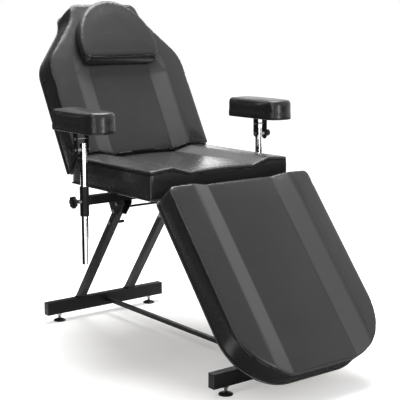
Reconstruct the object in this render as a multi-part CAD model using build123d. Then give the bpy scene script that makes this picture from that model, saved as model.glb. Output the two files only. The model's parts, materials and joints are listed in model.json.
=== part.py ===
"""Tattoo chair with a reclining backrest, a rising leg rest and two adjustable armrests.

Each function below builds one piece, or one group of like pieces, in its place at rest.
X runs across the chair, Y from the foot end to the head end, and Z up from the floor.
Lengths are in millimetres and angles in degrees. Y is zero at the armrest bar until the
last step, which moves the finished chair so that the origin is under its middle.
"""
from build123d import *
import math
import os

# Clearances
running_gap = 0.06
slip_gap = 0.2
side_gap = 0.3
overrun = 5.0

# Foot bars, with the levelling feet under them
bar_length = 553.0
bar_depth = 30.0
bar_height = 50.0
bar_wall = 2.0
bar_floor_gap = 32.0
front_bar_y = -556.0
rear_bar_y = 504.0
cap_flange = 4.0
cap_plug_depth = 16.0
foot_inset = 59.5
foot_diameter = 48.0
foot_rim = 3.0
foot_height = 10.0
foot_neck = 16.0
stud_diameter = 10.0
stud_reach = 25.0
lock_nut_across = 17.0
lock_nut_height = 8.0
floor_tie_side = 15.0
floor_tie_wall = 1.5

# Legs and the brackets that hold their upper ends
leg_spread = 234.0
leg_width = 30.0
leg_depth = 25.0
leg_wall = 1.5
rear_bolt_inset = 9.8
front_bolt_inset = 4.1
upper_bolt_drop = 67.0
middle_bolt_drop = 30.0
lower_bolt_drop = 51.0
leg_top_margin = 12.0
liner_low_margin = 37.0
liner_wall = 2.0
leg_bolt_diameter = 8.0
leg_head_across = 13.0
leg_head_height = 5.5
leg_nut_height = 6.5
middle_cap_diameter = 19.0
lower_cap_diameter = 12.0
middle_cap_length = 15.0
lower_cap_length = 34.0
leg_cap_bore = 10.0
bracket_sheet = 3.0
bracket_half_length = 54.0
bracket_cheek_height = 60.0
bracket_foot_margin = 12.0
bracket_foot_inner = 15.0
bracket_foot_outer = 28.0
bracket_set_back = 10.0
tie_rod_diameter = 9.0
tie_rod_drop = 13.0
tie_rod_inset = 12.0

# Seat frame, right under the seat board
seat_underside_z = 600.0
rail_height = 25.0
rail_wall = 1.5
seat_rail_width = 40.0
cross_rail_length = 380.0
front_rail_inset = 22.0
rear_rail_inset = 14.0

# Cushions and the boards that carry them
cushion_width = 606.0
seat_thickness = 98.0
cushion_thickness = 96.0
cushion_draw_in = 4.0
cushion_crown = 14.0
board_thickness = 12.0
board_inset = 10.0
panel_half_width = 138.0
panel_depth = 14.0
panel_crown = 4.0
ramp_run = 70.0
ramp_rise = 21.0
ramp_length_share = 1.4
arc_fill_share = 0.98
seat_front_y = -267.0
seat_depth = 508.0
seat_bevel = 40.0
seat_front_radius = 10.0
seat_rear_radius = 12.0

# Hinges between the seat and the other two cushions
hinge_drop = 18.0
back_pin_offset = 23.0
leg_pin_offset = 17.0
back_angle = 61.0
leg_angle = 50.9
hinge_radius = 17.0
arm_sheet = 3.0
wheel_thickness = 5.0
wheel_radius = 11.0
wheel_tooth_depth = 1.6
wheel_teeth = 18
wheel_gap = 0.4
pawl_length = 15.0
pawl_width = 4.6
pin_diameter = 8.0
pin_head_diameter = 14.0
pin_head_height = 3.0
moving_arm_reach = 120.0
moving_arm_height = 20.0
arm_bolt_diameter = 6.0
arm_bolt_head_across = 10.0
arm_bolt_head_height = 4.0
arm_bolt_inset = 18.0
arm_bolt_spacing = 40.0

# Frames on the backs of the backrest and the leg rest
section_rail = 25.0
section_cross_bar_shares = (0.22, 0.88)
back_rail_inset = 6.0
leg_rail_inset = 46.6
leg_rail_tip_gap = 168.0

# Backrest outline, measured along it from its lower edge
back_start = 32.8
back_bevel = 50.0
back_length = 657.2
back_shoulder_length = 164.0
back_head_length = 65.2
back_neck_half_width = 163.0
back_head_half_width = 149.0
back_foot_radius = 14.0
back_shoulder_radius = 120.0
back_neck_radius = 110.0
back_head_radius = 34.0
back_panel_gap = 28.0
back_panel_fade = 110.0

# Leg rest outline, measured along it from its hinge edge
leg_rest_overlap = 8.6
leg_rest_length = 694.0
leg_rest_taper = 4.0
leg_rest_hinge_radius = 18.0
leg_rest_tip_radius = 196.0

# Head pillow on the face of the backrest
pillow_half_width = 170.0
pillow_head_gap = 5.2
pillow_straight = 72.0
pillow_arch = 192.0
pillow_thickness = 33.0
pillow_slope = 28.0
pillow_corner_radius = 32.0
pillow_profile_shares = ((0.0, 0.18), (0.3, 0.0), (0.8, 0.02), (1.0, 0.14))
pillow_edge = 30.0
strip_thickness = 2.0
strip_length = 160.0
strip_width = 25.0
strip_inset = 104.0
strip_spacing = 90.0

# Armrest bar, the upright sleeves at its ends and the posts in them
arm_bar_side = 30.0
arm_bar_wall = 2.0
arm_bar_drop = 8.0
post_spread = 787.0
post_diameter = 25.0
post_wall = 2.0
post_length = 423.0
sleeve_diameter = 32.0
sleeve_wall = 2.0
sleeve_below = 36.0
sleeve_above = 31.5
bush_flange = 2.0
bush_length = 22.0
clamp_nut_across = 13.0
clamp_nut_length = 10.0
clamp_screw_diameter = 8.0
clamp_knob_diameter = 43.0
clamp_knob_thickness = 13.0
clamp_knob_gap = 13.0
knob_lobes = 7
knob_lobe_share = 0.16
knob_dome_share = 0.56

# Holder and pad on top of each post
pad_rise = 62.0
pad_thickness = 72.0
pad_half_width = 55.0
pad_ahead = 109.0
pad_behind = 126.0
pad_arch = 42.0
pad_corner_radius = 18.0
pad_profile_shares = ((0.0, 0.05), (0.3, 0.0), (0.8, 0.06), (0.94, 0.3), (1.0, 0.8))
pad_edge = 14.0
pad_board_thickness = 10.0
pad_board_inset = 6.0
holder_sheet = 3.0
holder_width = 26.0
holder_reach = 31.0
holder_outer_drop = 23.0
holder_inner_drop = 13.0
tilt_bolt_z = 754.0
post_top_margin = 22.0
tilt_bolt_diameter = 8.0
tilt_head_across = 13.0
tilt_head_height = 5.0
tilt_nut_height = 6.0
pinch_bolt_rise = 38.0
pinch_bolt_diameter = 6.0
pinch_head_across = 10.0
pinch_head_height = 4.0
spacer_diameter = 14.0
tilt_knob_diameter = 26.0
tilt_knob_thickness = 13.0
tilt_knob_skin = 3.0

# Screws that hold the boards to the steel
screw_diameter = 5.0
screw_bite = 8.0
screw_head_diameter = 10.0
screw_head_height = 2.5
seat_screw_share = 0.5
section_screw_shares = (0.3, 0.8)
pad_screw_inset = 9.0

# Places worked out from the sizes above
bar_top_z = bar_floor_gap + bar_height
foot_spread = bar_length - 2 * foot_inset
leg_x = leg_spread / 2
post_x = post_spread / 2
seat_back_y = seat_front_y + seat_depth
rail_low_z = seat_underside_z - rail_height
pin_z = seat_underside_z - hinge_drop
upper_bolt_z = rail_low_z - upper_bolt_drop
middle_bolt_z = upper_bolt_z - middle_bolt_drop
lower_bolt_z = middle_bolt_z - lower_bolt_drop
leg_top_z = upper_bolt_z + leg_top_margin
liner_low_z = lower_bolt_z - liner_low_margin
tie_rod_z = upper_bolt_z - tie_rod_drop
bracket_shoulder_z = rail_low_z - bracket_cheek_height
bracket_foot_z = middle_bolt_z - bracket_foot_margin
back_pin_y = seat_back_y + back_pin_offset
leg_pin_y = seat_front_y - leg_pin_offset
board_rise = hinge_drop + seat_thickness - cushion_thickness
front_rail_y = (seat_front_y + front_rail_inset, seat_front_y + front_rail_inset + rail_height)
rear_rail_y = (seat_back_y - rear_rail_inset - rail_height, seat_back_y - rear_rail_inset)
rear_bolt_y = rear_rail_y[0] - rear_bolt_inset
front_bolt_y = front_rail_y[1] + front_bolt_inset
back_shoulder = back_length - back_head_length - back_shoulder_length
back_rail_start = back_start + back_rail_inset
back_rail_length = back_shoulder - back_rail_inset
leg_rail_start = leg_rail_inset - leg_rest_overlap
leg_rail_length = leg_rest_length - leg_rail_inset - leg_rail_tip_gap
pillow_start = back_length - pillow_head_gap - pillow_arch - pillow_straight
fixed_arm_x = cross_rail_length / 2
wheel_x = fixed_arm_x + arm_sheet
moving_arm_x = wheel_x + wheel_thickness + side_gap
arm_bar_top_z = seat_underside_z - arm_bar_drop
arm_bar_low_z = arm_bar_top_z - arm_bar_side
sleeve_bottom_z = arm_bar_low_z - sleeve_below
sleeve_top_z = arm_bar_top_z + sleeve_above
sleeve_middle_z = (sleeve_bottom_z + sleeve_top_z) / 2
post_top_z = tilt_bolt_z + post_top_margin
post_bottom_z = post_top_z - post_length
pinch_bolt_z = tilt_bolt_z + pinch_bolt_rise
pad_underside_z = tilt_bolt_z + pad_rise
cushion_side = cushion_width / 2


def around(middle, width):
    """Limits of a width laid evenly about a middle."""
    return (middle - width / 2, middle + width / 2)


def block(x, y, z):
    """Box between three pairs of limits."""
    size = [high - low for low, high in (x, y, z)]
    return Solid.make_box(*size, Plane(origin=(x[0], y[0], z[0])))


def rod(start, end, diameter):
    """Round bar from one point to another."""
    run = Vector(*end) - Vector(*start)
    return Solid.make_cylinder(diameter / 2, run.length, Plane(origin=start, z_dir=run))


def hex_bar(start, end, across):
    """Six-sided bar from one point to another."""
    run = Vector(*end) - Vector(*start)
    face = Plane(origin=start, z_dir=run) * RegularPolygon(across / 2, 6, major_radius=False)
    return extrude(face, amount=run.length).solid()


def slab(points, x):
    """Plate across X whose outline is given in Y and Z."""
    face = make_face(Polyline(*[(x[0], y, z) for y, z in points], close=True))
    return extrude(face, amount=x[1] - x[0], dir=(1, 0, 0)).solid()


def cut(shape, *tools):
    """Shape with each tool taken out of it."""
    for tool in tools:
        shape = shape - tool
    return shape.solid()


def join(shape, *others):
    """One solid of several that meet."""
    for other in others:
        shape = shape + other
    return shape.solid()


def box_tube(x, y, z, wall, along):
    """Open rectangular tube; along is the number of the axis that it runs on."""
    limits = [x, y, z]
    bore = [(low + wall, high - wall) for low, high in limits]
    bore[along] = (limits[along][0] - overrun, limits[along][1] + overrun)
    return cut(block(*limits), block(*bore))


def pair(solid):
    """A solid and its mirror image on the other side of the chair."""
    return [solid, solid.mirror(Plane.YZ)]


def foot_bar(y):
    """Rectangular tube across the floor, drilled under each end for a levelling foot."""
    tube_length = bar_length - 2 * cap_flange
    height = (bar_floor_gap, bar_top_z)
    tube = box_tube(around(0, tube_length), around(y, bar_depth), height, bar_wall, 0)
    drill = stud_diameter + 2 * running_gap
    for x in around(0, foot_spread):
        hole = rod((x, y, bar_floor_gap - overrun), (x, y, bar_floor_gap + overrun), drill)
        tube = cut(tube, hole)
    return tube


def bar_caps(y):
    """Plastic plugs in the two ends of a foot bar."""
    end = bar_length / 2 - cap_flange
    height = (bar_floor_gap, bar_top_z)
    flange = block((end, end + cap_flange), around(y, bar_depth), height)
    shrink = bar_wall + slip_gap
    plug_height = (bar_floor_gap + shrink, bar_top_z - shrink)
    plug = block((end - cap_plug_depth, end), around(y, bar_depth - 2 * shrink), plug_height)
    return pair(join(flange, plug))


def levelling_foot(x, y):
    """Domed foot with its threaded stud, which screws up into the foot bar."""
    rim = foot_diameter / 2
    neck = foot_neck / 2
    stud = stud_diameter / 2
    top = bar_floor_gap + stud_reach
    dome_x = (rim + neck) / 2
    dome_z = (foot_rim + foot_height) / 2 + (foot_height - foot_rim) / 6
    edges = [
        Line((0, 0, 0), (rim, 0, 0)),
        Line((rim, 0, 0), (rim, 0, foot_rim)),
        ThreePointArc((rim, 0, foot_rim), (dome_x, 0, dome_z), (neck, 0, foot_height)),
        Line((neck, 0, foot_height), (stud, 0, foot_height)),
        Line((stud, 0, foot_height), (stud, 0, top)),
        Line((stud, 0, top), (0, 0, top)),
        Line((0, 0, top), (0, 0, 0)),
    ]
    turned = revolve(make_face(edges), Axis.Z).solid()
    return turned.moved(Location((x, y, 0)))


def lock_nut(x, y):
    """Hexagon nut that holds a foot's stud under the bar."""
    low = bar_floor_gap - lock_nut_height
    nut = hex_bar((x, y, low), (x, y, bar_floor_gap), lock_nut_across)
    bore = stud_diameter + 2 * running_gap
    return cut(nut, rod((x, y, low - overrun), (x, y, bar_floor_gap + overrun), bore))


def floor_tie():
    """Square tube along the floor that joins the middles of the foot bars."""
    run = (front_bar_y + bar_depth / 2, rear_bar_y - bar_depth / 2)
    middle = bar_floor_gap + bar_height / 2
    height = around(middle, floor_tie_side)
    return box_tube(around(0, floor_tie_side), run, height, floor_tie_wall, 1)


def leg_lean(end):
    """Slope of a leg's axis; end is 1 for the rear pair and -1 for the front."""
    run = rear_bolt_y - rear_bar_y if end > 0 else front_bolt_y - front_bar_y
    return run / (upper_bolt_z - bar_top_z)


def leg_y(end, z):
    """Place of a leg's axis along the chair at a height."""
    bar_y = rear_bar_y if end > 0 else front_bar_y
    return bar_y + leg_lean(end) * (z - bar_top_z)


def leg_core(end, low_z, high_z, width, depth):
    """Straight bar on a leg's axis between two heights."""
    start = Vector(leg_x, leg_y(end, low_z), low_z)
    run = Vector(leg_x, leg_y(end, high_z), high_z) - start
    plane = Plane(origin=start, x_dir=(1, 0, 0), z_dir=run)
    face = plane * Rectangle(width, depth)
    return extrude(face, amount=run.length).solid()


def leg_drills(end):
    """Holes for the three bolts that cross a leg."""
    bore = leg_bolt_diameter + 2 * slip_gap
    reach = (leg_x - leg_width, leg_x + leg_width)
    drills = []
    for z in (upper_bolt_z, middle_bolt_z, lower_bolt_z):
        y = leg_y(end, z)
        drills.append(rod((reach[0], y, z), (reach[1], y, z), bore))
    return drills


def leg(end):
    """Slanting tube welded on a foot bar, cut level at its lower end."""
    below = bar_top_z - leg_depth
    outside = leg_core(end, below, leg_top_z, leg_width, leg_depth)
    bore = 2 * leg_wall
    top = leg_top_z + overrun
    inside = leg_core(end, below - overrun, top, leg_width - bore, leg_depth - bore)
    reach_y = around(leg_y(end, bar_top_z), leg_depth * 4)
    floor = block(around(leg_x, leg_width * 2), reach_y, (0, bar_top_z))
    return cut(outside, inside, floor, *leg_drills(end))


def leg_liner(end):
    """Short inner tube that stiffens a leg where the bolts cross it."""
    shrink = 2 * (leg_wall + slip_gap)
    width = leg_width - shrink
    depth = leg_depth - shrink
    bore = 2 * liner_wall
    outside = leg_core(end, liner_low_z, leg_top_z, width, depth)
    low = liner_low_z - overrun
    inside = leg_core(end, low, leg_top_z + overrun, width - bore, depth - bore)
    return cut(outside, inside, *leg_drills(end))


def bracket_y(end):
    """Middle of a leg bracket along the chair."""
    return leg_y(end, upper_bolt_z) + end * bracket_set_back


def leg_bracket(end):
    """Folded plate under the seat frame whose two cheeks hold the top of a leg."""
    middle = bracket_y(end)
    half = bracket_half_length
    outline = [
        (half, rail_low_z),
        (half, bracket_shoulder_z),
        (bracket_foot_outer, bracket_foot_z),
        (-bracket_foot_inner, bracket_foot_z),
        (-half, bracket_shoulder_z),
        (-half, rail_low_z),
    ]
    points = [(middle + end * along, z) for along, z in outline]
    inner = leg_width / 2 + slip_gap
    outer = inner + bracket_sheet
    left = slab(points, (leg_x - outer, leg_x - inner))
    right = slab(points, (leg_x + inner, leg_x + outer))
    height = (rail_low_z - bracket_sheet, rail_low_z)
    web = block((leg_x - outer, leg_x + outer), around(middle, 2 * half), height)
    return cut(join(web, left, right), *leg_drills(end))


def leg_bolt(end, side, z, grip):
    """Hexagon bolt across a leg; grip is half the thickness that it clamps."""
    y = leg_y(end, z)
    x = side * leg_x
    head = hex_bar((x - grip - leg_head_height, y, z), (x - grip, y, z), leg_head_across)
    tip = x + grip + leg_nut_height
    return join(head, rod((x - grip, y, z), (tip, y, z), leg_bolt_diameter))


def leg_nut(end, side, z, grip):
    """Plain nut on the end of a leg bolt."""
    y = leg_y(end, z)
    start = side * leg_x + grip
    nut = hex_bar((start, y, z), (start + leg_nut_height, y, z), leg_head_across)
    bore = leg_bolt_diameter + 2 * running_gap
    return cut(nut, rod((start - overrun, y, z), (start + leg_nut_height + overrun, y, z), bore))


def leg_cap(end, side, z, grip, diameter, length):
    """Round plastic cap over the nut end of a leg bolt."""
    y = leg_y(end, z)
    start = side * leg_x + grip
    cap = rod((start, y, z), (start + length, y, z), diameter)
    rounded = fillet(cap.edges().sort_by(Axis.X)[-1], diameter / 4).solid()
    bore = leg_bolt_diameter + 2 * running_gap
    return cut(rounded, rod((start - overrun, y, z), (start + leg_cap_bore, y, z), bore))


def leg_fasteners():
    """Bolts, nuts and caps of the four legs, as three lists."""
    bolts, nuts, caps = [], [], []
    bracket_grip = leg_width / 2 + slip_gap + bracket_sheet
    leg_grip = leg_width / 2
    middle_size = (middle_cap_diameter, middle_cap_length)
    lower_size = (lower_cap_diameter, lower_cap_length)
    for end in (-1, 1):
        for side in (-1, 1):
            bolts.append(leg_bolt(end, side, upper_bolt_z, bracket_grip))
            bolts.append(leg_bolt(end, side, middle_bolt_z, bracket_grip))
            bolts.append(leg_bolt(end, side, lower_bolt_z, leg_grip))
            nuts.append(leg_nut(end, side, upper_bolt_z, bracket_grip))
            caps.append(leg_cap(end, side, middle_bolt_z, bracket_grip, *middle_size))
            caps.append(leg_cap(end, side, lower_bolt_z, leg_grip, *lower_size))
    return bolts, nuts, caps


def tie_rod(end):
    """Thin rod between the two brackets at one end of the seat."""
    y = bracket_y(end) - end * tie_rod_inset
    reach = leg_x - leg_width / 2 - slip_gap - bracket_sheet
    return rod((-reach, y, tie_rod_z), (reach, y, tie_rod_z), tie_rod_diameter)


def cross_rail(y):
    """Square tube across the seat frame; the hinge arms close its ends."""
    height = (rail_low_z, seat_underside_z)
    return box_tube(around(0, cross_rail_length), y, height, rail_wall, 0)


def seat_rail(y, end):
    """Tube along the seat frame above the brackets of one end."""
    width = around(leg_x, seat_rail_width)
    tube = box_tube(width, y, (rail_low_z, seat_underside_z), rail_wall, 1)
    return cut(tube, screw_hole(leg_x, seat_screw_y(end), rail_low_z, rail_height))


def seat_screw_y(end):
    """Place of the screws of one end, between the armrest bar and the brackets."""
    near = end * arm_bar_side / 2
    far = bracket_y(end) - end * bracket_half_length
    return near + (far - near) * seat_screw_share


def screw_hole(x, y, z, depth):
    """Clearance hole for an upright screw."""
    bore = screw_diameter + 2 * slip_gap
    return rod((x, y, z - overrun), (x, y, z + depth), bore)


def screw(x, y, z, length):
    """Pan-headed screw that points up from a head at height z."""
    head = rod((x, y, z - screw_head_height), (x, y, z), screw_head_diameter)
    return join(head, rod((x, y, z), (x, y, z + length), screw_diameter))


def hinge_disc(y, z, x, diameter):
    """Round plate about a hinge axis."""
    return rod((x[0], y, z), (x[1], y, z), diameter)


def fixed_arm(pin_y, rail):
    """Plate welded over the end of a cross rail that carries a hinge pin."""
    x = (fixed_arm_x, wheel_x)
    run = (min(rail[0], pin_y), max(rail[1], pin_y))
    plate = block(x, run, (rail_low_z, pin_z + hinge_radius))
    disc = hinge_disc(pin_y, pin_z, x, 2 * hinge_radius)
    bore = pin_diameter + 2 * running_gap
    drill = hinge_disc(pin_y, pin_z, (x[0] - overrun, x[1] + overrun), bore)
    return cut(join(plate, disc), drill)


def toothed_wheel(pin_y):
    """Ratchet wheel fixed to the inner plate of a hinge."""
    points = []
    for tooth in range(wheel_teeth):
        turn = 2 * math.pi * tooth / wheel_teeth
        back = turn + math.pi / wheel_teeth / 4
        root = wheel_radius - wheel_tooth_depth
        points.append((pin_y + wheel_radius * math.cos(turn), pin_z + wheel_radius * math.sin(turn)))
        points.append((pin_y + root * math.cos(back), pin_z + root * math.sin(back)))
    wheel = slab(points, (wheel_x, wheel_x + wheel_thickness))
    reach = (wheel_x - overrun, wheel_x + wheel_thickness + overrun)
    return cut(wheel, hinge_disc(pin_y, pin_z, reach, pin_diameter + 2 * running_gap))


def hinge_pin(pin_y):
    """Pin with a head at each end, through both plates of a hinge."""
    inner = fixed_arm_x
    outer = moving_arm_x + arm_sheet + side_gap
    shank = hinge_disc(pin_y, pin_z, (inner, outer), pin_diameter)
    inner_head = hinge_disc(pin_y, pin_z, (inner - pin_head_height, inner), pin_head_diameter)
    outer_head = hinge_disc(pin_y, pin_z, (outer, outer + pin_head_height), pin_head_diameter)
    return join(shank, inner_head, outer_head)


def place_back(shape):
    """Turn a piece of the backrest from flat to its rest angle, about the hinge pin."""
    return shape.rotate(Axis.X, back_angle).moved(Location((0, back_pin_y, pin_z)))


def place_leg(shape):
    """Turn a piece of the leg rest from level to its rest angle, about the hinge pin."""
    turned = shape.mirror(Plane.XZ).rotate(Axis.X, leg_angle)
    return turned.moved(Location((0, leg_pin_y, pin_z)))


def moving_arm():
    """Plate that turns on a hinge pin, flat, with the pin at the origin."""
    x = (moving_arm_x, moving_arm_x + arm_sheet)
    middle = board_rise - section_rail / 2
    plate = block(x, (0, moving_arm_reach), around(middle, moving_arm_height))
    disc = hinge_disc(0, 0, x, 2 * hinge_radius)
    reach = (x[0] - overrun, x[1] + overrun)
    drills = [hinge_disc(0, 0, reach, pin_diameter + 2 * running_gap)]
    for y in arm_bolt_places():
        drills.append(hinge_disc(y, middle, reach, arm_bolt_diameter + 2 * slip_gap))
    return cut(join(plate, disc), *drills)


def arm_bolt_places():
    """Places along a moving arm of the bolts that hold it to its rail."""
    last = moving_arm_reach - arm_bolt_inset
    return (last - arm_bolt_spacing, last)


def arm_bolt(y):
    """Bolt through a moving arm and its rail, with the head outside."""
    middle = board_rise - section_rail / 2
    face = moving_arm_x + arm_sheet
    head_end = (face + arm_bolt_head_height, y, middle)
    head = hex_bar((face, y, middle), head_end, arm_bolt_head_across)
    tip = moving_arm_x - section_rail - arm_bolt_head_height
    return join(head, rod((tip, y, middle), (face, y, middle), arm_bolt_diameter))


def pawl():
    """Catch on the moving arm, held just off the teeth of the wheel."""
    low = -wheel_radius - wheel_gap - pawl_width
    x = (wheel_x + side_gap, moving_arm_x)
    return block(x, around(0, pawl_length), (low, low + pawl_width))


def section_rail_tube(start, length):
    """Tube along the back of the backrest or the leg rest, flat."""
    width = (moving_arm_x - section_rail, moving_arm_x)
    height = (board_rise - section_rail, board_rise)
    tube = box_tube(width, (start, start + length), height, rail_wall, 1)
    middle = board_rise - section_rail / 2
    reach = (width[0] - overrun, width[1] + overrun)
    bore = arm_bolt_diameter + 2 * slip_gap
    drills = [hinge_disc(y, middle, reach, bore) for y in arm_bolt_places()]
    for share in section_screw_shares:
        x = moving_arm_x - section_rail / 2
        drills.append(screw_hole(x, start + length * share, height[0], section_rail))
    return cut(tube, *drills)


def section_cross_bar(y):
    """Tube between the two rails of the backrest or the leg rest, flat."""
    reach = 2 * (moving_arm_x - section_rail)
    height = (board_rise - section_rail, board_rise)
    return box_tube(around(0, reach), around(y, section_rail), height, rail_wall, 0)


def section_screws(start, length):
    """Screws up through the rails into the board, flat."""
    screws = []
    for share in section_screw_shares:
        x = moving_arm_x - section_rail / 2
        y = start + length * share
        low = board_rise - section_rail
        screws += pair(screw(x, y, low, section_rail + screw_bite))
    return screws


def inset_corners(points, inset):
    """Corners of a closed outline, listed anticlockwise, with each side moved inwards."""
    moved = []
    count = len(points)
    for i in range(count):
        before, here, after = points[i - 1], points[i], points[(i + 1) % count]
        lines = []
        for start, end in ((before, here), (here, after)):
            run = Vector(end[0] - start[0], end[1] - start[1], 0).normalized()
            normal = Vector(-run.Y, run.X, 0)
            origin = Vector(start[0], start[1], 0) + normal * inset
            lines.append((origin, run))
        (first, along), (second, across) = lines
        gap = second - first
        turn = along.X * across.Y - along.Y * across.X
        step = (gap.X * across.Y - gap.Y * across.X) / turn
        corner = first + along * step
        moved.append((corner.X, corner.Y))
    return moved


def outline_wire(points, radii, inset, z):
    """Closed outline with rounded corners; a hollow corner has a negative radius."""
    corners = [(x, y, z) for x, y in inset_corners(points, inset)]
    rounds = [radius - inset if radius > 0 else inset - radius for radius in radii]
    return FilletPolyline(*corners, radius=rounds, close=True).wire()


def slice_between(points, radii, inset, low, high):
    """Flat piece of an outline between two heights."""
    face = Face(outline_wire(points, radii, inset, low))
    return extrude(face, amount=high - low).solid()


def cushion_body(points, radii, thickness, draw_in):
    """Cushion whose sides swell between the board and the seam, before it is crowned."""
    levels = (
        (0, draw_in),
        (thickness / 2, 0),
        (thickness + cushion_crown + overrun, draw_in),
    )
    wires = [outline_wire(points, radii, inset, z) for z, inset in levels]
    return Solid.make_loft(wires)


def crown_prism(start, end, thickness):
    """Solid with an arched top, as wide as a cushion."""
    side = cushion_side + overrun
    rise = cushion_crown
    edges = [
        Line((-side, start, 0), (side, start, 0)),
        Line((side, start, 0), (side, start, thickness)),
        ThreePointArc((side, start, thickness), (0, start, thickness + rise), (-side, start, thickness)),
        Line((-side, start, thickness), (-side, start, 0)),
    ]
    return extrude(make_face(edges), amount=end - start, dir=(0, 1, 0)).solid()


def panel_section(y, lift, thickness):
    """Section of the sunken middle panel with its two ramps."""
    floor = thickness - panel_depth + lift
    half = panel_half_width
    wide = half + ramp_run * ramp_length_share
    top = floor + ramp_rise * ramp_length_share
    edges = [
        Line((-wide, y, top), (-half, y, floor)),
        ThreePointArc((-half, y, floor), (0, y, floor + panel_crown), (half, y, floor)),
        Line((half, y, floor), (wide, y, top)),
        Line((wide, y, top), (-wide, y, top)),
    ]
    return Wire(edges)


def panel_trough(stations, thickness):
    """Tool that sinks the middle panel between the bolsters."""
    wires = [panel_section(y, lift, thickness) for y, lift in stations]
    return Solid.make_loft(wires, ruled=True)


def bevel_wedge(start, bevel, thickness):
    """Tool that cuts the lower edge of a cushion on a slant, the board side longer."""
    lean = bevel / thickness
    high = thickness + cushion_crown + overrun
    points = [
        (start - lean * overrun, -overrun),
        (start + lean * high, high),
        (start - bevel, high),
        (start - bevel, -overrun),
    ]
    return slab(points, around(0, cushion_width + 2 * overrun))


def seat_outline():
    """Corners and radii of the seat, measured from its rear edge."""
    side = cushion_side
    points = [(-side, 0), (side, 0), (side, seat_depth), (-side, seat_depth)]
    return points, [seat_rear_radius, seat_rear_radius, seat_front_radius, seat_front_radius]


def back_outline():
    """Corners and radii of the backrest: straight sides, shoulders and a narrower head."""
    start = back_start
    half = [
        (cushion_side, start, back_foot_radius),
        (cushion_side, start + back_shoulder, back_shoulder_radius),
        (back_neck_half_width, start + back_length - back_head_length, -back_neck_radius),
        (back_head_half_width, start + back_length, back_head_radius),
    ]
    return mirrored_outline(half)


def leg_rest_outline():
    """Corners and radii of the leg rest, which narrows to a broad rounded tip."""
    side = cushion_side
    tip = side - leg_rest_taper
    start = -leg_rest_overlap
    end = start + leg_rest_length
    points = [(-side, start), (side, start), (tip, end), (-tip, end)]
    hinge, far = leg_rest_hinge_radius, leg_rest_tip_radius
    return points, [hinge, hinge, far, far]


def board(points, radii):
    """Plywood board in the underside of a cushion."""
    return slice_between(points, radii, board_inset, 0, board_thickness)


def cushion(points, radii, thickness, stations, bevel_tool=None):
    """Foam and vinyl over a board, crowned, with a sunken middle panel."""
    start = min(y for x, y in points) - overrun
    end = max(y for x, y in points) + overrun
    body = cushion_body(points, radii, thickness, cushion_draw_in)
    body = (body & crown_prism(start, end, thickness)).solid()
    tools = [panel_trough(stations, thickness), board(points, radii)]
    if bevel_tool:
        tools.append(bevel_tool)
    return cut(body, *tools)


def seat_pieces():
    """Board and cushion of the seat."""
    points, radii = seat_outline()
    stations = [(-overrun, 0), (seat_depth + overrun, 0)]
    wedge = bevel_wedge(0, seat_bevel, seat_thickness)
    shapes = [board(points, radii), cushion(points, radii, seat_thickness, stations, wedge)]
    home = Location((0, seat_back_y, seat_underside_z))
    return [shape.mirror(Plane.XZ).moved(home) for shape in shapes]


def back_pieces():
    """Board and cushion of the backrest, flat."""
    points, radii = back_outline()
    fade = back_start + pillow_start - back_panel_gap
    lift = panel_depth + cushion_crown + overrun
    stations = [(-overrun, 0), (fade, 0), (fade + back_panel_fade, lift)]
    wedge = bevel_wedge(back_start, back_bevel, cushion_thickness)
    shapes = [board(points, radii), cushion(points, radii, cushion_thickness, stations, wedge)]
    return [shape.moved(Location((0, 0, board_rise))) for shape in shapes]


def leg_rest_pieces():
    """Board and cushion of the leg rest, level."""
    points, radii = leg_rest_outline()
    stations = [(-leg_rest_overlap - overrun, 0), (leg_rest_length + overrun, 0)]
    shapes = [board(points, radii), cushion(points, radii, cushion_thickness, stations)]
    return [shape.moved(Location((0, 0, board_rise))) for shape in shapes]


def arched_outline(half_width, start, shoulder, arch, corner):
    """Corners and radii of an outline with a straight end and, beyond the shoulder, an arch.

    The arch follows a half ellipse with two arcs on each side, tangent to each other.
    """
    octant = math.tan(math.pi / 8)
    side_turn = math.atan2(half_width, arch)
    top_turn = math.pi / 2 - side_turn
    facet = math.hypot(half_width, arch) * (1 - octant) / 2 * arc_fill_share
    top_facet = min(facet, half_width * octant * arc_fill_share)
    half = [
        (half_width, start, corner),
        (half_width, shoulder + arch * octant, facet / math.tan(side_turn / 2)),
        (half_width * octant, shoulder + arch, top_facet / math.tan(top_turn / 2)),
    ]
    return mirrored_outline(half)


def mirrored_outline(half):
    """Whole outline of its right-hand half, given as corners with their radii."""
    whole = half + [(-x, y, radius) for x, y, radius in reversed(half)]
    return [(x, y) for x, y, radius in whole], [radius for x, y, radius in whole]


def head_pillow():
    """Half-moon pillow, flat, with its lower edge slanted towards the backrest."""
    base = board_rise + cushion_thickness + cushion_crown + strip_thickness
    start = back_start + pillow_start
    shoulder = start + pillow_straight
    wires = []
    for height_share, inset_share in pillow_profile_shares:
        low = start + pillow_slope * height_share
        outline = arched_outline(pillow_half_width, low, shoulder, pillow_arch, pillow_corner_radius)
        height = base + pillow_thickness * height_share
        wires.append(outline_wire(*outline, pillow_edge * inset_share, height))
    return Solid.make_loft(wires)


def pillow_strips():
    """Two fastening strips between the pillow and the backrest, flat."""
    base = board_rise + cushion_thickness + cushion_crown
    strips = []
    for row in range(2):
        start = back_start + pillow_start + strip_inset + row * strip_spacing
        height = (base, base + strip_thickness)
        strips.append(block(around(0, strip_length), (start, start + strip_width), height))
    return strips


def arm_bar():
    """Square tube under the seat that carries an upright sleeve at each end."""
    height = (arm_bar_low_z, arm_bar_top_z)
    bar = box_tube(around(0, post_spread), around(0, arm_bar_side), height, arm_bar_wall, 0)
    for x in (-post_x, post_x):
        low = (x, 0, arm_bar_low_z - overrun)
        bar = cut(bar, rod(low, (x, 0, arm_bar_top_z + overrun), sleeve_diameter))
    return bar


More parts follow.
